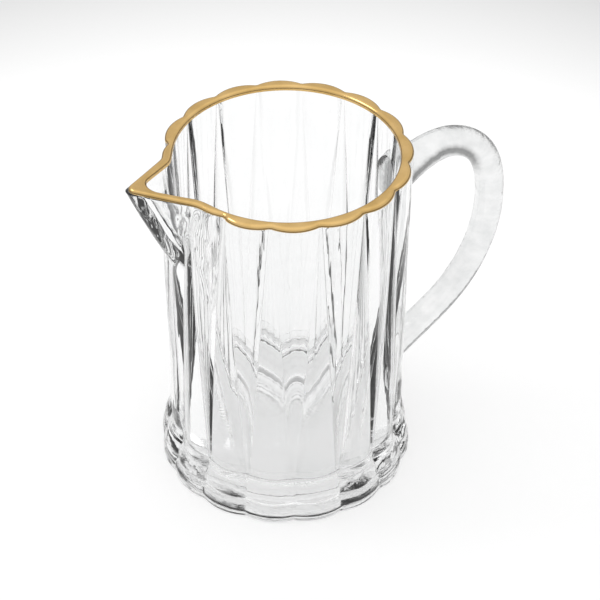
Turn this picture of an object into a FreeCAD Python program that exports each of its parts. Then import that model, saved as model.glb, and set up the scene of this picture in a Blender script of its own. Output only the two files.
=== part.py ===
import FreeCAD, Part
import math
import os

# Cream jug of clear pressed glass with a gilt rim.  Millimetres, +Z up, the spout along -X and
# the handle along +X.  The origin is the middle of the flat ring that the jug stands on.

# Panels: sixteen hang from the rim and sixteen stand on the foot, half a pitch apart.  They meet
# in valleys.  A panel's share is its part of the width, and it bulges in step with its width.
PANELS = 16
PITCH = 360 / PANELS
VALLEY_RADIUS = 33.05
VALLEY_BELLY = 0.45
BULGE = 1.35
SHARE_AT_FOOT = 0.08
SHARE_AT_RIM = 0.97
WALL_STEPS = 4

# Heights
FOOT_TOP = 14.3
FLOOR = 8.8
RIM = 105.3

# Bore
BORE_AT_RIM = 30.9
BORE_AT_FLOOR = 28.9
FLOOR_CORNER = 3.0

# Foot: a thin lip, a groove, a rounded tier, a seam and a neck up to the wall
SOLE_CREST = 36.9
SOLE_CHAMFER = 0.3
LIP_CREST = 37.2
LIP_TOP_CREST = 36.9
LIP_BULGE = 1.0
GROOVE_CREST = 35.8
GROOVE_HEIGHT = 5.2
GROOVE_HALF_WIDTH = 0.6
TIER_CREST = 36.5
TIER_BULGE = 1.45
TIER_LOW = 6.3
TIER_HIGH = 7.6
SHOULDER_CREST = 35.35
SHOULDER_HEIGHT = 10.1
SEAM_CREST = 34.7
SEAM_BULGE = 1.3
SEAM_HEIGHT = 10.8
RECESS_RADIUS = 22.5
RECESS_DEPTH = 6.3

# Spout: an outline seen from above, carried back to the wall down a bowed keel line
SPOUT_TIP = -47.5
SPOUT_FOOT = 75.0
SPOUT_TOP = 108.6
KEEL_RUN = 12.5
KEEL_BOW = 2.4
KEEL_STEPS = 5
CHEEK_ANGLE = 36
NOSE_RADIUS = 2.2
CHEEK_END = (-35.5, 9.9)
WING_BEND = (-32.0, 12.8)
WING_END = (-27.6, 18.1)

# The spout's channel: a smaller outline of the same kind
CHANNEL_TIP = -42.3
CHANNEL_FOOT = 82.0
CHANNEL_CHEEK_ANGLE = 33
CHANNEL_NOSE_RADIUS = 4.5
CHANNEL_CHEEK_END = (-33.5, 8.4)
CHANNEL_BEND = (-30.6, 10.8)
CHANNEL_END = (-27.2, 14.8)

# How far the rim lifts above its level at places along X, on the way to the spout's tip
RIM_LIFT = [(-26.0, 0.0), (-32.0, 0.5), (-40.0, 1.6), (-50.0, 3.1)]

# Gilt band
GILT_THICKNESS = 0.6

# Handle: a round rod down a curve in the XZ plane, spread where it meets the wall
HANDLE_ROUTE = [
    (29.0, 83.5), (39.8, 89.9), (49.5, 92.7), (59.6, 88.5), (65.9, 72.0),
    (63.2, 52.0), (53.4, 36.2), (41.0, 26.0), (29.0, 17.2),
]
ROD_RADIUS_HIGH = 4.4
ROD_RADIUS_LOW = 4.0
HIGH_FLARE = 3.2
LOW_FLARE = 1.5
FLARE_LENGTH = 0.06
HANDLE_RINGS = 28

ABOVE = RIM + 12
WALL_TOP = RIM + 1.5


def polar(radius, angle, height):
    """The point at a radius and an angle in degrees round the Z axis."""
    turn = math.radians(angle)
    return FreeCAD.Vector(radius * math.cos(turn), radius * math.sin(turn), height)


def flat(point):
    """A plan point as a vector at height zero."""
    return FreeCAD.Vector(point[0], point[1], 0)


def upright(point):
    """A point of the XZ plane as a vector."""
    return FreeCAD.Vector(point[0], 0, point[1])


def lobed_wire(height, crest, bulge, first_crest):
    """A closed ring of convex arcs that meet in cusps."""
    arcs = []
    for index in range(PANELS):
        middle = first_crest + index * PITCH
        start = polar(crest - bulge, middle - PITCH / 2, height)
        end = polar(crest - bulge, middle + PITCH / 2, height)
        arcs.append(Part.Arc(start, polar(crest, middle, height), end).toShape())
    return Part.Wire(arcs)


def lobed_stack(levels, first_crest):
    """A lobed solid through levels of (height, crest radius, bulge)."""
    rings = [lobed_wire(height, crest, bulge, first_crest) for height, crest, bulge in levels]
    return Part.makeLoft(rings, True, True)


def wall_wire(height):
    """A ring of hanging and standing panels in turn, at a height."""
    climb = (height - FOOT_TOP) / (RIM - FOOT_TOP)
    valley = VALLEY_RADIUS + 4 * VALLEY_BELLY * climb * (1 - climb)
    hanging = SHARE_AT_FOOT + (SHARE_AT_RIM - SHARE_AT_FOOT) * climb
    arcs = []
    for index in range(PANELS):
        for share, middle in ((hanging, index * PITCH), (1 - hanging, (index + 0.5) * PITCH)):
            start = polar(valley, middle - share * PITCH / 2, height)
            crest = polar(valley + BULGE * share, middle, height)
            end = polar(valley, middle + share * PITCH / 2, height)
            arcs.append(Part.Arc(start, crest, end).toShape())
    return Part.Wire(arcs)


def panelled_prism():
    """The wall's outside as one solid, a little taller than the rim."""
    step = (RIM - FOOT_TOP) / WALL_STEPS
    heights = [FOOT_TOP + step * index for index in range(WALL_STEPS)] + [WALL_TOP]
    return Part.makeLoft([wall_wire(height) for height in heights], True, True)


def beak_wire(tip, nose_radius, cheek_angle, cheek_end, bend, end):
    """A beak seen from above: a round nose, straight cheeks and curves back to the wall."""
    lean = math.radians(cheek_angle)
    middle = tip + nose_radius
    cheek_start = (middle - nose_radius * math.sin(lean), nose_radius * math.cos(lean))
    edges = []
    for side in (1, -1):
        start, cheek, turn, last = [flat((x, y * side)) for x, y in (cheek_start, cheek_end, bend, end)]
        wing = Part.BSplineCurve()
        wing.interpolate(Points=[cheek, turn, last], InitialTangent=cheek - start, FinalTangent=last - turn)
        edges.append(Part.LineSegment(start, cheek).toShape())
        edges.append(wing.toShape())
    upper, lower = flat(cheek_start), flat((cheek_start[0], -cheek_start[1]))
    edges.append(Part.Arc(upper, flat((tip, 0)), lower).toShape())
    edges.append(Part.LineSegment(flat(end), flat((end[0], -end[1]))).toShape())
    return Part.Wire(Part.__sortEdges__(edges))


def beak_solid(outline, foot):
    """The outline carried down the keel line from the spout's top to a lower end."""
    rings = []
    for step in range(KEEL_STEPS + 1):
        height = SPOUT_TOP + (foot - SPOUT_TOP) * step / KEEL_STEPS
        share = (SPOUT_TOP - height) / (SPOUT_TOP - SPOUT_FOOT)
        ring = outline.copy()
        ring.translate(FreeCAD.Vector(KEEL_RUN * share + KEEL_BOW * share ** 2, 0, height))
        rings.append(ring)
    return Part.makeLoft(rings, True, True)


def bore():
    """The smooth inside: a steep cone with a flat floor and a round corner, down into the foot."""
    rise = ABOVE - FLOOR
    top_radius = BORE_AT_FLOOR + (BORE_AT_RIM - BORE_AT_FLOOR) * rise / (RIM - FLOOR)
    corner_start = upright((BORE_AT_FLOOR - FLOOR_CORNER, FLOOR))
    corner_end = upright((BORE_AT_FLOOR, FLOOR + FLOOR_CORNER))
    inset = FLOOR_CORNER * (1 - math.sqrt(0.5))
    corner_middle = upright((BORE_AT_FLOOR - inset, FLOOR + inset))
    edges = [
        Part.LineSegment(upright((0, FLOOR)), corner_start).toShape(),
        Part.Arc(corner_start, corner_middle, corner_end).toShape(),
        Part.LineSegment(corner_end, upright((top_radius, ABOVE))).toShape(),
        Part.LineSegment(upright((top_radius, ABOVE)), upright((0, ABOVE))).toShape(),
        Part.LineSegment(upright((0, ABOVE)), upright((0, FLOOR))).toShape(),
    ]
    profile = Part.Face(Part.Wire(edges))
    return profile.revolve(FreeCAD.Vector(0, 0, 0), FreeCAD.Vector(0, 0, 1), 360)


def above_rim(drop):
    """Everything over the rim's top, or over a level that far beneath it."""
    lift = [upright((x, RIM + rise - drop)) for x, rise in RIM_LIFT]
    curve = Part.BSplineCurve()
    curve.interpolate(Points=lift, InitialTangent=FreeCAD.Vector(-1, 0, 0), FinalTangent=lift[3] - lift[2])
    start = upright((-SPOUT_TIP * 2, RIM - drop))
    corners = [lift[-1], upright((lift[-1].x, ABOVE + 1)), upright((start.x, ABOVE + 1)), start, lift[0]]
    edges = [curve.toShape()]
    for first, second in zip(corners[:-1], corners[1:]):
        edges.append(Part.LineSegment(first, second).toShape())
    profile = Part.Face(Part.Wire(edges))
    profile.translate(FreeCAD.Vector(0, -ABOVE, 0))
    return profile.extrude(FreeCAD.Vector(0, 2 * ABOVE, 0))


def solid_outside():
    """The body's outside with the spout, before it is hollowed."""
    outline = beak_wire(SPOUT_TIP, NOSE_RADIUS, CHEEK_ANGLE, CHEEK_END, WING_BEND, WING_END)
    return panelled_prism().fuse(beak_solid(outline, SPOUT_FOOT))


def hollow():
    """The inside with the spout's channel."""
    outline = beak_wire(
        CHANNEL_TIP, CHANNEL_NOSE_RADIUS, CHANNEL_CHEEK_ANGLE, CHANNEL_CHEEK_END, CHANNEL_BEND, CHANNEL_END
    )
    return bore().fuse(beak_solid(outline, CHANNEL_FOOT))


def body_and_gilt():
    """The glass body, and the gilt band that lies on its rim."""
    shell = solid_outside().cut(hollow())
    lowered = above_rim(GILT_THICKNESS)
    body = shell.cut(lowered)
    gilt = shell.common(lowered).cut(above_rim(0))
    return body, gilt


def foot():
    """The scalloped foot: it holds the floor of the inside and is hollowed to a dome beneath."""
    neck_bulge = BULGE * (1 - SHARE_AT_FOOT)
    levels = [
        (0, SOLE_CREST, LIP_BULGE),
        (SOLE_CHAMFER, LIP_CREST, LIP_BULGE),
        (GROOVE_HEIGHT - GROOVE_HALF_WIDTH, LIP_TOP_CREST, LIP_BULGE),
        (GROOVE_HEIGHT, GROOVE_CREST, LIP_BULGE),
        (TIER_LOW, TIER_CREST, TIER_BULGE),
        (TIER_HIGH, TIER_CREST, TIER_BULGE),
        (SHOULDER_HEIGHT, SHOULDER_CREST, SEAM_BULGE),
        (SEAM_HEIGHT, SEAM_CREST, SEAM_BULGE),
        (FOOT_TOP, VALLEY_RADIUS + neck_bulge, neck_bulge),
    ]
    sphere_radius = (RECESS_RADIUS ** 2 + RECESS_DEPTH ** 2) / (2 * RECESS_DEPTH)
    dome = Part.makeSphere(sphere_radius, FreeCAD.Vector(0, 0, RECESS_DEPTH - sphere_radius))
    return lobed_stack(levels, PITCH / 2).cut(dome).cut(bore())


def handle():
    """The applied handle, cut to sit face to face on the panelled wall."""
    route = Part.BSplineCurve()
    route.interpolate([upright(point) for point in HANDLE_ROUTE])
    rings = []
    for index in range(HANDLE_RINGS + 1):
        share = index / HANDLE_RINGS
        place = route.FirstParameter + (route.LastParameter - route.FirstParameter) * share
        radius = ROD_RADIUS_HIGH + (ROD_RADIUS_LOW - ROD_RADIUS_HIGH) * share
        radius += HIGH_FLARE * math.exp(-share / FLARE_LENGTH)
        radius += LOW_FLARE * math.exp((share - 1) / FLARE_LENGTH)
        circle = Part.Circle(route.value(place), FreeCAD.Vector(*route.tangent(place)[0]), radius)
        rings.append(Part.Wire(circle.toShape()))
    return Part.makeLoft(rings, True, False).cut(panelled_prism())


def main():
    os.makedirs("parts", exist_ok=True)
    body, gilt = body_and_gilt()
    parts = {
        "glass_body": body,
        "gilt_rim": gilt,
        "glass_foot": foot(),
        "glass_handle": handle(),
    }
    for name, shape in parts.items():
        shape.exportStep("parts/" + name + ".step")


main()
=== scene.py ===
import math

import bmesh
import bpy
import numpy as np
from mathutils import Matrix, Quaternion, Vector


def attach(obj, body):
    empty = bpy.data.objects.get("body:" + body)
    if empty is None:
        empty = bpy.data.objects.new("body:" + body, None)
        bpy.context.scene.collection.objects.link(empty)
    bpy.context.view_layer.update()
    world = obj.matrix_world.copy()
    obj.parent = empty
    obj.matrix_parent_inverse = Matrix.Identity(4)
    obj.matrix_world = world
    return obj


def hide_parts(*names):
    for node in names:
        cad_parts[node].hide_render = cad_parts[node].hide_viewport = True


# Cream jug of clear pressed glass with a gilt rim.  Shapes are worked out in millimetres, in the
# frame of the CAD part, and become metres where a mesh is made.
MM = 0.001

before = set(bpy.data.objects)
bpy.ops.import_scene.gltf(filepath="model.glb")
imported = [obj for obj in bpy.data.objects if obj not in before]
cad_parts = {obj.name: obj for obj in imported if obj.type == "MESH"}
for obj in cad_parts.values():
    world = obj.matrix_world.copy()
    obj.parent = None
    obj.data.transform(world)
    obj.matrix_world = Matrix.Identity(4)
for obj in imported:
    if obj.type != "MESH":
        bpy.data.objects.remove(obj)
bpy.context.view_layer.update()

# Panels: sixteen hang from the rim and sixteen stand on the foot, half a pitch apart
PANELS = 16
HALF_PITCH = 180 / PANELS
VALLEY_RADIUS = 33.05
VALLEY_BELLY = 0.45
BULGE = 1.35
TIP_SHARE = 0.08
TOP_SHARE = 0.97
VALLEY_BLEND = 0.08

# Heights
FOOT_TOP = 14.3
PANEL_TIP = 15.5
FLOOR = 8.8
RIM = 105.3

# Bore
BORE_AT_RIM = 30.9
BORE_AT_FLOOR = 28.9
FLOOR_CORNER = 3.0

# Lip
LIP_OUTER_ROUND = 1.0
LIP_INNER_ROUND = 0.8

# The rim rises towards the spout's tip: it starts at this place along X, and steepens a little
LIFT_START = -27.0
LIFT_SLOPE = 0.137
LIFT_POWER = 1.15
LIFT_REACH = 20

# Spout, seen from above: a round nose, straight cheeks and a bend back to the wall
BEAK = {
    "tip": -47.5, "nose": 2.2, "angle": 36,
    "cheek": (-35.5, 9.9), "bend": (-31.9, 12.5), "end": (-27.6, 18.1),
}
CHANNEL = {
    "tip": -42.3, "nose": 4.5, "angle": 33,
    "cheek": (-33.5, 8.4), "bend": (-30.4, 10.4), "end": (-27.2, 14.8),
}
NOSE_STEPS = 24
CHEEK_STEPS = 40
SPOUT_LOBES = (7, 8, 9)
SPOUT_TOP = 108.6
SPOUT_FOOT = 75.0
CHANNEL_FOOT = 82.0
KEEL_RUN = 12.5
KEEL_BOW = 2.4
BEAK_FILLET = 0.8
CHANNEL_FILLET = 1.5

# The wall draws in a little on both sides of the spout, towards the rim
TUCK_DEPTH = 0.9
TUCK_START = 82
TUCK_SPREAD = 36
TUCK_FADE = 4

# Foot: a thin lip, a groove, a rounded tier and a seam, as (height, crest radius, bulge)
FOOT_PROFILE = [
    (0.0, 36.8, 1.0), (0.1, 37.0, 1.0), (0.3, 37.15, 1.0), (1.1, 37.2, 1.0), (2.6, 37.15, 1.0),
    (4.2, 36.95, 1.0), (4.6, 36.7, 1.0), (5.0, 36.0, 1.05), (5.3, 35.8, 1.1),
    (5.7, 36.1, 1.3), (6.3, 36.5, 1.4), (7.0, 36.45, 1.45), (8.0, 36.25, 1.42), (9.2, 35.8, 1.38),
    (10.1, 35.35, 1.34), (10.5, 35.05, 1.32), (10.8, 34.7, 1.3),
]
NECK_STEPS = 6
CUSP_ROUND = 0.05
RECESS_RADIUS = 22.5
RECESS_DEPTH = 6.3
RECESS_POLE = 1.5
RECESS_ROWS = 22
BOWL_ROWS = 14
LOBE_STEPS = 12

# Handle
HANDLE_ROUTE = [
    (29.0, 83.5), (39.8, 89.9), (49.5, 92.7), (59.6, 88.5), (65.9, 72.0),
    (63.2, 52.0), (53.4, 36.2), (41.0, 26.0), (29.0, 17.2),
]
ROD_RADIUS_HIGH = 4.4
ROD_RADIUS_LOW = 4.0
HIGH_FLARE = 3.2
LOW_FLARE = 1.5
FLARE_LENGTH = 0.06
ROD_COLUMNS = 48
ROD_ROWS = 120
HALVINGS = 40

# How far one glass piece runs into the next, so that light passes as if they were fused
FUSE = 0.06

# Gilt film over the lip
GILT_GAP = 0.02
GILT_THICKNESS = 0.10
GILT_DROP_OUTSIDE = 0.7
GILT_DROP_INSIDE = 0.5


# ---------------------------------------------------------------- shape of the wall and spout

def smooth_max(first, second, blend):
    """The larger of two surfaces, with a fillet where they cross."""
    near = np.maximum(blend - np.abs(first - second), 0) / blend
    return np.maximum(first, second) + near ** 2 * blend / 4


def hanging_share(height):
    """A hanging panel's share of the width at a height.  The standing panels have the rest."""
    share = np.clip((height - FOOT_TOP) / (RIM - FOOT_TOP), 0, 1)
    return TIP_SHARE + (TOP_SHARE - TIP_SHARE) * share


def panel_radius(angle, height):
    """The panelled wall's radius at an angle in degrees.  Each panel bulges in step with its width."""
    climb = np.clip((height - FOOT_TOP) / (RIM - FOOT_TOP), 0, 1)
    valley = VALLEY_RADIUS + 4 * VALLEY_BELLY * climb * (1 - climb)
    meet = hanging_share(height)
    offset = np.abs((angle + HALF_PITCH) % (2 * HALF_PITCH) - HALF_PITCH) / HALF_PITCH
    hang = BULGE * (meet - offset ** 2 / meet)
    stand = BULGE * ((1 - meet) - (1 - offset) ** 2 / (1 - meet))
    return valley + smooth_max(hang, stand, VALLEY_BLEND)


def beak_outline(shape):
    """Half of a beak's outline, from its tip to the wall."""
    lean = math.radians(shape["angle"])
    turn = np.linspace(0, math.pi / 2 - lean, NOSE_STEPS)
    middle = shape["tip"] + shape["nose"]
    nose = np.stack([middle - shape["nose"] * np.cos(turn), shape["nose"] * np.sin(turn)], 1)
    along = np.linspace(0, 1, CHEEK_STEPS)[:, None]
    cheek = nose[-1] + (np.array(shape["cheek"]) - nose[-1]) * along
    start, bend, end = (np.array(shape[key]) for key in ("cheek", "bend", "end"))
    wing = start * (1 - along) ** 2 + 2 * bend * along * (1 - along) + end * along ** 2
    return np.concatenate([nose, cheek[1:], wing[1:]])


def keel_shift(height):
    """How far the beak has moved back towards the wall at a height."""
    share = (SPOUT_TOP - height) / (SPOUT_TOP - SPOUT_FOOT)
    return KEEL_RUN * share + KEEL_BOW * np.maximum(share, 0) ** 2


def beak_radius(shape, angle, height):
    """The radius of a beak's outline at an angle in degrees, once moved back to its height."""
    outline = beak_outline(shape)
    away = np.radians(np.abs(angle - 180))
    shift = keel_shift(height)
    radius = np.zeros_like(away)
    for low in range(len(outline) - 1):
        near, far = outline[low], outline[low + 1]
        x0, x1 = -(near[0] + shift), -(far[0] + shift)
        sine, cosine = np.sin(away), np.cos(away)
        edge_x, edge_y = x1 - x0, far[1] - near[1]
        spread = cosine * edge_y - sine * edge_x
        spread = np.where(np.abs(spread) < 1e-9, 1e-9, spread)
        place = (sine * x0 - cosine * near[1]) / spread
        reach = (x0 * edge_y - near[1] * edge_x) / spread
        hit = (place >= -1e-6) & (place <= 1 + 1e-6) & (reach > 0)
        radius = np.where(hit, np.maximum(radius, reach), radius)
    return radius


def outer_radius(angle, height):
    """The outside of the wall, spout and all."""
    near_spout = np.clip((TUCK_SPREAD - np.abs(angle - 180)) / TUCK_FADE, 0, 1)
    near_rim = np.clip((height - TUCK_START) / (RIM - TUCK_START), 0, 1)
    wall = panel_radius(angle, height) - TUCK_DEPTH * near_spout * near_rim ** 2
    return smooth_max(wall, beak_radius(BEAK, angle, height), BEAK_FILLET)


def inner_radius(angle, height):
    """The smooth bore with its floor corner and the spout's channel."""
    bore = BORE_AT_FLOOR + (BORE_AT_RIM - BORE_AT_FLOOR) * (height - FLOOR) / (RIM - FLOOR)
    under = np.clip(FLOOR + FLOOR_CORNER - height, 0, FLOOR_CORNER)
    bore = bore - FLOOR_CORNER + np.sqrt(FLOOR_CORNER ** 2 - under ** 2)
    return smooth_max(bore, beak_radius(CHANNEL, angle, height), CHANNEL_FILLET)


def rim_lift(x):
    """The rim's rise towards the spout's tip."""
    beyond = np.maximum(LIFT_START - x, 0)
    return LIFT_SLOPE * beyond ** LIFT_POWER / LIFT_REACH ** (LIFT_POWER - 1)


# ---------------------------------------------------------------- mesh making

SHARP_ANGLE = 50


def ring_mesh(name, rows, poles=None):
    """A closed mesh of rows that each run round a loop.  Poles close both ends, else row meets row."""
    rows = np.asarray(rows)
    count, columns = rows.shape[:2]
    points = list(map(tuple, rows.reshape(-1, 3) * MM))
    faces = []
    last = count if poles is None else count - 1
    for row in range(last):
        lower, upper = row * columns, (row + 1) % count * columns
        for column in range(columns):
            beside = (column + 1) % columns
            faces.append((lower + column, lower + beside, upper + beside, upper + column))
    if poles is not None:
        for row, pole in ((0, poles[0]), (count - 1, poles[1])):
            points.append(tuple(np.asarray(pole) * MM))
            tip = len(points) - 1
            for column in range(columns):
                faces.append((row * columns + column, row * columns + (column + 1) % columns, tip))
    mesh = bpy.data.meshes.new(name)
    mesh.from_pydata(points, [], faces)
    tidy = bmesh.new()
    tidy.from_mesh(mesh)
    bmesh.ops.recalc_face_normals(tidy, faces=tidy.faces)
    tidy.to_mesh(mesh)
    tidy.free()
    mesh.polygons.foreach_set("use_smooth", [True] * len(mesh.polygons))
    mesh.set_sharp_from_angle(angle=math.radians(SHARP_ANGLE))
    piece = bpy.data.objects.new(name, mesh)
    bpy.context.scene.collection.objects.link(piece)
    return piece


def polar(radius, angle, height):
    """Points from radii, angles in degrees and heights."""
    turn = np.radians(angle)
    radius, turn, height = np.broadcast_arrays(radius, turn, height)
    return np.stack([radius * np.cos(turn), radius * np.sin(turn), height], -1)


# ---------------------------------------------------------------- glass body

# Columns in half a hanging and half a standing panel, at the spout and elsewhere
SPOUT_COLUMNS = (26, 9)
PLAIN_COLUMNS = (8, 7)

# Heights where the rows grow closer together on their way up to the spout and the rim
OUTSIDE_DENSE = 72
INSIDE_DENSE = 78
LOWEST_ROW = 14.9

# The columns of the inside run from the rim's angles to even ones over this much height
ANGLE_BLEND = 14


def panel_columns():
    """For each column of the wall: its panel's axis, its side of it, its family and its share."""
    columns = []
    for lobe in range(PANELS):
        dense = lobe in SPOUT_LOBES
        hanging = SPOUT_COLUMNS[0] if dense else PLAIN_COLUMNS[0]
        standing = SPOUT_COLUMNS[1] if dense else PLAIN_COLUMNS[1]
        hanging_shares = [i / hanging for i in range(hanging + 1)]
        if not dense:
            hanging_shares = [math.sin(math.pi / 2 * share) for share in hanging_shares]
        standing_shares = [1 - math.cos(math.pi / 2 * i / standing) for i in range(1, standing + 1)]
        axis = lobe * 2 * HALF_PITCH
        columns += [(axis, -1, 1, share) for share in reversed(standing_shares[:-1])]
        columns += [(axis, -1, 0, share) for share in reversed(hanging_shares[1:])]
        columns += [(axis, 1, 0, share) for share in hanging_shares]
        columns += [(axis, 1, 1, share) for share in standing_shares]
    return np.array(columns).T


AXIS, SIDE, FAMILY, SHARE = panel_columns()


def column_angles(height):
    """The angle of every column at one height, so that columns run along the panels' edges."""
    meet = hanging_share(height)
    offset = np.where(FAMILY == 1, meet + (1 - meet) * SHARE, meet * SHARE)
    return AXIS + SIDE * HALF_PITCH * offset


def even_angles():
    """Angles spread evenly within each panel, for the smooth inside."""
    return column_angles((PANEL_TIP + RIM) / 2)


RIM_ANGLES = column_angles(RIM)


def lip_rows(offset=0.0, outside_drop=None, inside_drop=None):
    """Rows over the lip from outside to inside, at a distance outside the glass."""
    angle = RIM_ANGLES
    outer = outer_radius(angle, RIM - LIP_OUTER_ROUND)
    inner = inner_radius(angle, RIM - LIP_INNER_ROUND)
    rows = []

    def add(radius, below):
        height = RIM - below + rim_lift(radius * np.cos(np.radians(angle)))
        rows.append(polar(radius, angle, height))

    round_out = LIP_OUTER_ROUND + offset
    round_in = LIP_INNER_ROUND + offset
    if outside_drop is not None:
        add(outer + offset, outside_drop)
    for turn in np.radians(np.linspace(0, 90, 8)):
        add(outer - LIP_OUTER_ROUND + round_out * np.cos(turn), LIP_OUTER_ROUND - round_out * np.sin(turn))
    for share in (0.33, 0.67):
        start, end = outer - LIP_OUTER_ROUND, inner + LIP_INNER_ROUND
        add(start + (end - start) * share, -offset)
    for turn in np.radians(np.linspace(90, 0, 7)):
        add(inner + LIP_INNER_ROUND - round_in * np.cos(turn), LIP_INNER_ROUND - round_in * np.sin(turn))
    if inside_drop is not None:
        add(inner - offset, inside_drop)
    return rows


def body_rows():
    """Rows up the outside, over the lip and down the inside."""
    rows = []
    top = RIM - LIP_OUTER_ROUND
    lower = np.linspace(PANEL_TIP, OUTSIDE_DENSE, 22)
    upper = np.linspace(OUTSIDE_DENSE, top, 46)[1:]
    for level in np.concatenate([[FOOT_TOP, LOWEST_ROW], lower, upper]):
        angle = column_angles(level)
        climb = np.clip((level - SPOUT_FOOT) / (top - SPOUT_FOOT), 0, 1)
        tip_x = outer_radius(angle, top) * np.cos(np.radians(angle))
        height = level + rim_lift(tip_x) * climb
        rows.append(polar(outer_radius(angle, height), angle, height))
    rows += lip_rows()[1:]
    even = even_angles()
    inside_top = RIM - LIP_INNER_ROUND
    upper = np.linspace(inside_top, INSIDE_DENSE, 36)[1:]
    lower = np.linspace(INSIDE_DENSE, FOOT_TOP, 24)[1:]
    for level in np.concatenate([upper, lower]):
        mix = np.clip((inside_top - level) / ANGLE_BLEND, 0, 1)
        mix = mix * mix * (3 - 2 * mix)
        angle = RIM_ANGLES + (even - RIM_ANGLES) * mix
        climb = np.clip((level - CHANNEL_FOOT) / (inside_top - CHANNEL_FOOT), 0, 1)
        tip_x = inner_radius(angle, inside_top) * np.cos(np.radians(angle))
        height = level + rim_lift(tip_x) * climb
        rows.append(polar(inner_radius(angle, height), angle, height))
    return rows


def make_body():
    piece = ring_mesh("jug_body", body_rows())
    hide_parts("glass_body")
    return piece


# ---------------------------------------------------------------- foot

def lobed_radius(angle, crest, bulge):
    """A ring of lobes whose valleys lie under the hanging panels' axes."""
    offset = np.abs((angle + HALF_PITCH) % (2 * HALF_PITCH) - HALF_PITCH) / HALF_PITCH
    from_valley = np.sqrt(offset ** 2 + CUSP_ROUND ** 2)
    return crest - bulge * (1 - from_valley) ** 2


def recess_height(radius):
    """The hollow beneath: a shallow dome, part of a ball."""
    ball = (RECESS_RADIUS ** 2 + RECESS_DEPTH ** 2) / (2 * RECESS_DEPTH)
    return RECESS_DEPTH - ball + math.sqrt(ball ** 2 - radius ** 2)


def lobe_angles():
    """Angles round the foot, closer together near the cusps between its lobes."""
    shares = [math.sin(math.pi / 2 * i / LOBE_STEPS) for i in range(LOBE_STEPS)]
    angles = []
    for lobe in range(PANELS):
        middle = (2 * lobe + 1) * HALF_PITCH
        angles += [middle - HALF_PITCH * share for share in [1] + shares[:0:-1]]
        angles += [middle + HALF_PITCH * share for share in shares]
    return np.array(angles)


def make_foot():
    angle = lobe_angles()
    reach = np.linspace(RECESS_POLE, RECESS_RADIUS, RECESS_ROWS)
    rows = [polar(radius, angle, recess_height(radius)) for radius in reach]
    sole = lobed_radius(angle, *FOOT_PROFILE[0][1:])
    for share in (0.35, 0.7):
        rows.append(polar(RECESS_RADIUS + (sole - RECESS_RADIUS) * share, angle, 0))
    for height, crest, bulge in FOOT_PROFILE:
        rows.append(polar(lobed_radius(angle, crest, bulge), angle, height))
    seam_height, seam_crest, seam_bulge = FOOT_PROFILE[-1]
    top = FOOT_TOP + FUSE
    neck_bulge = BULGE * (1 - TIP_SHARE)
    for step in range(1, NECK_STEPS + 1):
        share = step / NECK_STEPS
        height = seam_height + (top - seam_height) * share
        crest = seam_crest + (VALLEY_RADIUS + neck_bulge - seam_crest) * share
        bulge = seam_bulge + (neck_bulge - seam_bulge) * share
        rows.append(polar(lobed_radius(angle, crest, bulge), angle, height))
    for depth in np.linspace(0, 1, BOWL_ROWS):
        height = top + (FLOOR - top) * math.sin(math.pi / 2 * depth)
        rows.append(polar(inner_radius(angle, height), angle, height))
    corner = inner_radius(angle, FLOOR)
    for share in (0.75, 0.5, 0.25):
        rows.append(polar(corner * share, angle, FLOOR))
    piece = ring_mesh("jug_foot", rows, ((0, 0, recess_height(0)), (0, 0, FLOOR)))
    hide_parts("glass_foot")
    return piece


# ---------------------------------------------------------------- handle

def smooth_route(points):
    """A function for the place and direction along a natural spline, and the spline's length."""
    points = np.array(points)
    knots = np.concatenate([[0], np.cumsum(np.hypot(*np.diff(points, axis=0).T))])
    size = len(points)
    matrix = np.zeros((size, size))
    right = np.zeros((size, 2))
    gap = np.diff(knots)
    for i in range(1, size - 1):
        matrix[i, i - 1] = gap[i - 1]
        matrix[i, i] = 2 * (gap[i - 1] + gap[i])
        matrix[i, i + 1] = gap[i]
        before = (points[i] - points[i - 1]) / gap[i - 1]
        after = (points[i + 1] - points[i]) / gap[i]
        right[i] = 6 * (after - before)
    matrix[0, 0] = matrix[-1, -1] = 1
    bend = np.linalg.solve(matrix, right)

    def at(place):
        i = np.clip(np.searchsorted(knots, place, side="right") - 1, 0, size - 2)
        h, left = gap[i][..., None], (place - knots[i])[..., None]
        rest = h - left
        spot = bend[i] * rest ** 3 / (6 * h) + bend[i + 1] * left ** 3 / (6 * h)
        spot += (points[i] / h - bend[i] * h / 6) * rest + (points[i + 1] / h - bend[i + 1] * h / 6) * left
        slope = -bend[i] * rest ** 2 / (2 * h) + bend[i + 1] * left ** 2 / (2 * h)
        slope += (points[i + 1] - points[i]) / h - (bend[i + 1] - bend[i]) * h / 6
        return spot, slope / np.linalg.norm(slope, axis=-1, keepdims=True)

    return at, knots[-1]


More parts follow.
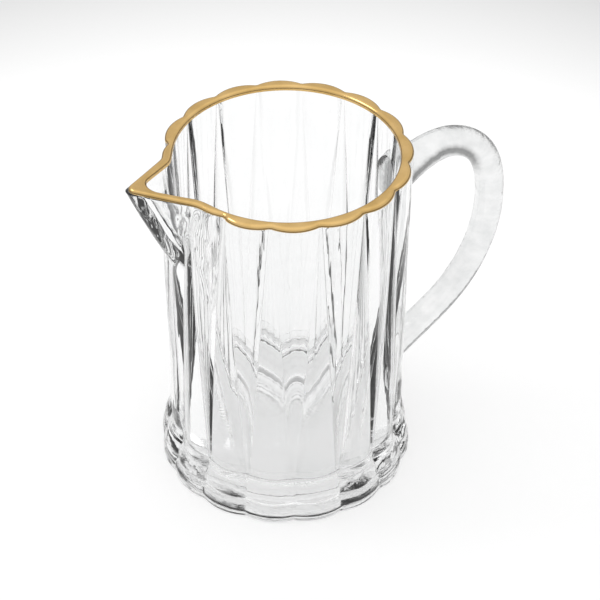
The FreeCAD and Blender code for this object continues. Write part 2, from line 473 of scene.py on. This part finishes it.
def make_handle():
    """The rod, with ends that are shaped to the wall's outside."""
    at, length = smooth_route(HANDLE_ROUTE)
    around = np.radians(np.arange(0, 360, 360 / ROD_COLUMNS))

    def surface(place, turn):
        spot, slope = at(place)
        share = place / length
        radius = ROD_RADIUS_HIGH + (ROD_RADIUS_LOW - ROD_RADIUS_HIGH) * share
        radius = radius + HIGH_FLARE * np.exp(-share / FLARE_LENGTH)
        radius = radius + LOW_FLARE * np.exp((share - 1) / FLARE_LENGTH)
        x = spot[..., 0] - slope[..., 1] * radius * np.cos(turn)
        z = spot[..., 1] + slope[..., 0] * radius * np.cos(turn)
        return np.stack([x, radius * np.sin(turn), z], -1)

    def depth(point):
        angle = np.degrees(np.arctan2(point[..., 1], point[..., 0]))
        return np.hypot(point[..., 0], point[..., 1]) - outer_radius(angle, point[..., 2]) + FUSE

    ends = []
    for start in (0.0, length):
        inside, outside = np.full_like(around, start), np.full_like(around, length / 2)
        for _ in range(HALVINGS):
            middle = (inside + outside) / 2
            buried = depth(surface(middle, around)) < 0
            inside, outside = np.where(buried, middle, inside), np.where(buried, outside, middle)
        ends.append((inside + outside) / 2)
    shares = np.linspace(0, 1, ROD_ROWS)
    rows = [surface(ends[0] + (ends[1] - ends[0]) * share, around) for share in shares]
    caps = []
    for ring in (rows[0], rows[-1]):
        middle = ring.mean(0)
        cap = []
        for share in (0.66, 0.33, 0.0):
            spots = middle + (ring - middle) * share
            angle = np.degrees(np.arctan2(spots[:, 1], spots[:, 0]))
            cap.append(polar(outer_radius(angle, spots[:, 2]) - FUSE, angle, spots[:, 2]))
        caps.append(cap)
    rows = caps[0][1::-1] + rows + caps[1][:2]
    piece = ring_mesh("jug_handle", rows, (caps[0][2][0], caps[1][2][0]))
    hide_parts("glass_handle")
    return piece


# ---------------------------------------------------------------- gilt rim

def make_gilt():
    far = lip_rows(GILT_GAP + GILT_THICKNESS, GILT_DROP_OUTSIDE, GILT_DROP_INSIDE + LIP_INNER_ROUND)
    near = lip_rows(GILT_GAP, GILT_DROP_OUTSIDE, GILT_DROP_INSIDE + LIP_INNER_ROUND)
    piece = ring_mesh("gilt_band", far[1:] + near[:0:-1])
    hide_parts("gilt_rim")
    return piece


# ---------------------------------------------------------------- materials

GLASS_INDEX = 1.52

# The swirl fills the spout forward of this place along X, and fades out over the lengths below
SWIRL_FRONT = -34
SWIRL_FADE = 4
SWIRL_RISE = 10


def node_material(name):
    material = bpy.data.materials.new(name)
    material.use_nodes = True
    tree = material.node_tree
    shader = tree.nodes["Principled BSDF"]
    return material, tree, shader


def noise(tree, scale, stretch=(1, 1, 1), detail=3.0):
    """A noise in the object's own space.  Scale is in features per metre."""
    place = tree.nodes.new("ShaderNodeTexCoord")
    mapping = tree.nodes.new("ShaderNodeMapping")
    mapping.inputs["Scale"].default_value = stretch
    texture = tree.nodes.new("ShaderNodeTexNoise")
    texture.inputs["Scale"].default_value = scale
    texture.inputs["Detail"].default_value = detail
    tree.links.new(place.outputs["Object"], mapping.inputs["Vector"])
    tree.links.new(mapping.outputs["Vector"], texture.inputs["Vector"])
    return texture.outputs["Fac"]


def ramp(tree, source, low, high, low_at=0.3, high_at=0.7):
    """A colour between two, as the source goes from one value to another."""
    node = tree.nodes.new("ShaderNodeValToRGB")
    node.color_ramp.elements[0].position = low_at
    node.color_ramp.elements[1].position = high_at
    node.color_ramp.elements[0].color = (*low, 1)
    node.color_ramp.elements[1].color = (*high, 1)
    tree.links.new(source, node.inputs["Fac"])
    return node.outputs["Color"]


def bump(tree, source, distance, strength, normal=None):
    """A relief from the source, over another one if that is given.  The distance is in metres."""
    node = tree.nodes.new("ShaderNodeBump")
    node.inputs["Distance"].default_value = distance
    node.inputs["Strength"].default_value = strength
    tree.links.new(source, node.inputs["Height"])
    if normal is not None:
        tree.links.new(normal, node.inputs["Normal"])
    return node.outputs["Normal"]


def flat_place(tree):
    """Where a point lies in plan: its own coordinates with the height left out."""
    place = tree.nodes.new("ShaderNodeTexCoord")
    flat = tree.nodes.new("ShaderNodeVectorMath")
    flat.operation = "MULTIPLY"
    flat.inputs[1].default_value = (1, 1, 0)
    tree.links.new(place.outputs["Object"], flat.inputs[0])
    return flat.outputs["Vector"]


def times(tree, first, second):
    """The product of two values."""
    node = tree.nodes.new("ShaderNodeMath")
    node.operation = "MULTIPLY"
    tree.links.new(first, node.inputs[0])
    tree.links.new(second, node.inputs[1])
    return node.outputs["Value"]


def below(tree, source, limit, fade):
    """One while the source is under the limit, nothing once it is past the fade."""
    node = tree.nodes.new("ShaderNodeMapRange")
    node.inputs["From Min"].default_value = limit
    node.inputs["From Max"].default_value = limit + fade
    node.inputs["To Min"].default_value = 1
    node.inputs["To Max"].default_value = 0
    tree.links.new(source, node.inputs["Value"])
    return node.outputs["Result"]


def coordinate(tree, axis):
    """One of a point's own coordinates, in metres."""
    place = tree.nodes.new("ShaderNodeTexCoord")
    split = tree.nodes.new("ShaderNodeSeparateXYZ")
    tree.links.new(place.outputs["Object"], split.inputs["Vector"])
    return split.outputs[axis]


def mould_streaks(tree):
    """Streaks that fan out over the hollow under the foot, and nothing outside it."""
    plan = flat_place(tree)
    heading = tree.nodes.new("ShaderNodeVectorMath")
    heading.operation = "NORMALIZE"
    tree.links.new(plan, heading.inputs[0])
    streaks = tree.nodes.new("ShaderNodeTexNoise")
    streaks.inputs["Scale"].default_value = 26
    streaks.inputs["Detail"].default_value = 4
    tree.links.new(heading.outputs["Vector"], streaks.inputs["Vector"])
    reach = tree.nodes.new("ShaderNodeVectorMath")
    reach.operation = "LENGTH"
    tree.links.new(plan, reach.inputs[0])
    hollow = times(
        tree,
        below(tree, reach.outputs["Value"], (RECESS_RADIUS - 1) * MM, 0.001),
        below(tree, coordinate(tree, "Z"), (FLOOR - 1.5) * MM, 0.0005),
    )
    return times(tree, streaks.outputs["Fac"], hollow)


def spout_swirl(tree):
    """Loose swirls in the glass of the spout, and nothing further back or lower down."""
    swirl = noise(tree, 75, detail=2.0)
    forward = below(tree, coordinate(tree, "X"), SWIRL_FRONT * MM, SWIRL_FADE * MM)
    depth = below(tree, coordinate(tree, "Z"), SPOUT_FOOT * MM, SWIRL_RISE * MM)
    high = tree.nodes.new("ShaderNodeMath")
    high.operation = "SUBTRACT"
    high.inputs[0].default_value = 1
    tree.links.new(depth, high.inputs[1])
    return times(tree, times(tree, swirl, forward), high.outputs["Value"])


def glass_material(name, relief, distance, strength):
    """Clear pressed glass, a little wavy down its length, with a relief of its own."""
    material, tree, shader = node_material(name)
    shader.inputs["Transmission Weight"].default_value = 1.0
    shader.inputs["IOR"].default_value = GLASS_INDEX
    shader.inputs["Roughness"].default_value = 0.0
    tint = ramp(tree, noise(tree, 60), (0.945, 0.95, 0.95), (0.975, 0.975, 0.975))
    tree.links.new(tint, shader.inputs["Base Color"])
    waves = bump(tree, noise(tree, 220, (1, 1, 0.1)), 0.0002, 0.35)
    detail = bump(tree, relief(tree), distance, strength, waves)
    tree.links.new(detail, shader.inputs["Normal"])
    return material


def rod_material():
    """The handle's thicker glass: greyer, with an uneven skin."""
    material, tree, shader = node_material("rod_glass")
    shader.inputs["Transmission Weight"].default_value = 1.0
    shader.inputs["IOR"].default_value = GLASS_INDEX
    shader.inputs["Roughness"].default_value = 0.0
    tint = ramp(tree, noise(tree, 260, detail=6.0), (0.74, 0.75, 0.75), (0.93, 0.93, 0.93))
    tree.links.new(tint, shader.inputs["Base Color"])
    waves = bump(tree, noise(tree, 700, detail=6.0), 0.00015, 0.7)
    tree.links.new(waves, shader.inputs["Normal"])
    return material


def gilt_material():
    """Fired gold, bright but slightly mottled."""
    material, tree, shader = node_material("gilt")
    shader.inputs["Metallic"].default_value = 1.0
    tone = ramp(tree, noise(tree, 160), (0.60, 0.39, 0.14), (0.74, 0.50, 0.21))
    tree.links.new(tone, shader.inputs["Base Color"])
    grain = ramp(tree, noise(tree, 500), (0.08, 0.08, 0.08), (0.18, 0.18, 0.18))
    tree.links.new(grain, shader.inputs["Roughness"])
    skin = bump(tree, noise(tree, 900), 0.0001, 0.2)
    tree.links.new(skin, shader.inputs["Normal"])
    return material


def painted_glow_floor_material():
    """A pale table with a painted glow: it is lit from within near the jug, which washes out the jug's
    shadow, and falls off to grey further out.
    """
    material, tree, shader = node_material("painted_glow_floor")
    place = tree.nodes.new("ShaderNodeTexCoord")
    distance = tree.nodes.new("ShaderNodeVectorMath")
    distance.operation = "LENGTH"
    tree.links.new(place.outputs["Object"], distance.inputs[0])
    # Painted glow: one tone feeds both colour and emission, so the table shines near the jug, washing out
    # the jug's shadow, and dims to grey further out
    tone = ramp(tree, distance.outputs["Value"], TABLE_PAINTED_GLOW_NEAR, TABLE_PAINTED_GLOW_FAR, *TABLE_GLOW_FADE)
    tree.links.new(tone, shader.inputs["Base Color"])
    tree.links.new(tone, shader.inputs["Emission Color"])
    shader.inputs["Emission Strength"].default_value = TABLE_GLOW
    shader.inputs["Roughness"].default_value = 0.9
    return material


# ---------------------------------------------------------------- stage

# Metres, from the middle of the ring that the jug stands on
CAMERA_PLACE = (-0.1997, -0.4002, 0.4301)
CAMERA_AIM = (0.0036, -0.0017, 0.0528)
CAMERA_ROLL = -0.61
CAMERA_LENS = 122.8
CAMERA_SENSOR = 36

# The table's painted glow: its tone near the jug and far out, and the distances where it fades
TABLE_HALF = 3.0
TABLE_DROP = 0.0002
TABLE_GLOW = 1.4
TABLE_GLOW_FADE = (0.2, 0.4)
TABLE_PAINTED_GLOW_NEAR = (0.42, 0.42, 0.42)
TABLE_PAINTED_GLOW_FAR = (0.1, 0.1, 0.1)

LAMP_PLACE = (-0.35, 0.25, 0.6)
LAMP_SIZE = 0.25
LAMP_POWER = 0.7

# The light from all round, as (sine of the height above the horizon, brightness)
SKY = [(0.0, 0.25), (0.12, 0.55), (0.28, 0.95), (0.5, 0.8), (0.75, 1.05), (1.0, 1.2)]


def make_camera():
    """The camera at the photograph's viewing angle."""
    data = bpy.data.cameras.new("camera")
    data.lens = CAMERA_LENS
    data.sensor_width = CAMERA_SENSOR
    data.dof.use_dof = False
    camera = bpy.data.objects.new("camera", data)
    bpy.context.scene.collection.objects.link(camera)
    camera.location = CAMERA_PLACE
    ahead = Vector(CAMERA_AIM) - camera.location
    camera.rotation_mode = "QUATERNION"
    roll = Quaternion(ahead.normalized(), math.radians(CAMERA_ROLL))
    camera.rotation_quaternion = roll @ ahead.to_track_quat("-Z", "Y")
    bpy.context.scene.camera = camera


def make_floor():
    """The table, a hair below the jug's sole."""
    mesh = bpy.data.meshes.new("floor")
    corners = [(TABLE_HALF * x, TABLE_HALF * y, 0) for x, y in ((-1, -1), (1, -1), (1, 1), (-1, 1))]
    mesh.from_pydata(corners, [], [(0, 1, 2, 3)])
    floor = bpy.data.objects.new("floor", mesh)
    floor.location.z = -TABLE_DROP
    bpy.context.scene.collection.objects.link(floor)
    mesh.materials.append(painted_glow_floor_material())


def make_lamp():
    """One broad soft lamp, high up, behind the jug and on the spout's side."""
    data = bpy.data.lights.new("soft_lamp", "AREA")
    data.shape = "DISK"
    data.size = LAMP_SIZE
    data.energy = LAMP_POWER
    lamp = bpy.data.objects.new("soft_lamp", data)
    lamp.location = LAMP_PLACE
    lamp.rotation_euler = Vector(LAMP_PLACE).to_track_quat("Z", "Y").to_euler()
    bpy.context.scene.collection.objects.link(lamp)


def make_world():
    """Soft light from all round, dimmer towards the horizon."""
    world = bpy.data.worlds.new("studio")
    bpy.context.scene.world = world
    world.use_nodes = True
    tree = world.node_tree
    back = tree.nodes["Background"]
    place = tree.nodes.new("ShaderNodeTexCoord")
    split = tree.nodes.new("ShaderNodeSeparateXYZ")
    tree.links.new(place.outputs["Generated"], split.inputs["Vector"])
    tone = tree.nodes.new("ShaderNodeValToRGB")
    stops = tone.color_ramp
    for index, (height, light) in enumerate(SKY):
        stop = stops.elements[index] if index < 2 else stops.elements.new(height)
        stop.position = height
        stop.color = (light, light, light, 1)
    tree.links.new(split.outputs["Z"], tone.inputs["Fac"])
    tree.links.new(tone.outputs["Color"], back.inputs["Color"])


body = make_body()
foot = make_foot()
handle = make_handle()
gilt = make_gilt()
body.data.materials.append(glass_material("wall_glass", spout_swirl, 0.002, 0.6))
foot.data.materials.append(glass_material("foot_glass", mould_streaks, 0.0006, 0.15))
handle.data.materials.append(rod_material())
gilt.data.materials.append(gilt_material())
for piece in (body, foot, handle, gilt):
    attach(piece, "root")

make_camera()
make_floor()
make_lamp()
make_world()
scene = bpy.context.scene
scene.view_settings.view_transform = "Standard"
scene.cycles.max_bounces = 32
scene.cycles.transmission_bounces = 32
